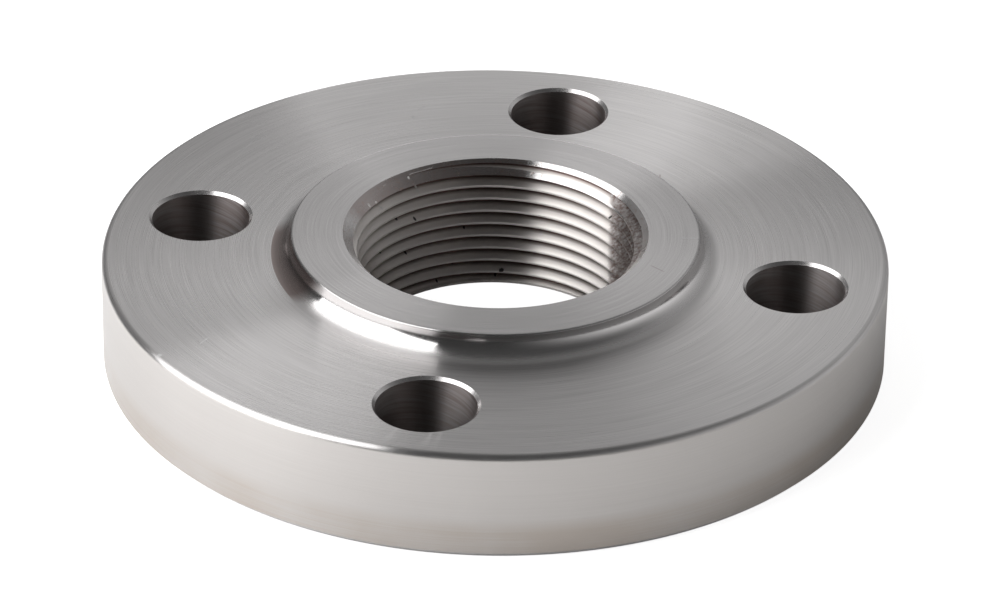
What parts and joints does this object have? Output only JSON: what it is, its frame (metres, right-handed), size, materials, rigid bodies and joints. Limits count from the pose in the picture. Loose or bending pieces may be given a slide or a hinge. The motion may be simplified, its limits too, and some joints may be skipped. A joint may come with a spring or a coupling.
{
  "type": "threaded pipe flange",
  "caption": "Stainless steel threaded pipe flange: a flat disc with a low hub, a tapped bore and a circle of bolt holes, screwed on a pipe end to bolt it up.",
  "frame": {"origin": "centre of the bore on the flat gasket face, which is also the bottom centre of the bounding box", "axes": "+Z along the bore axis from the gasket face to the end of the hub, where the pipe is screwed in; +X and +Y each run through the centre of a bolt hole"},
  "size_m": [0.127, 0.127, 0.022],
  "materials": {
    "stainless_steel": "fine turned, satin"
  },
  "bodies": {
    "root": {"flange_body": "stainless_steel"}
  },
  "joints": []
}
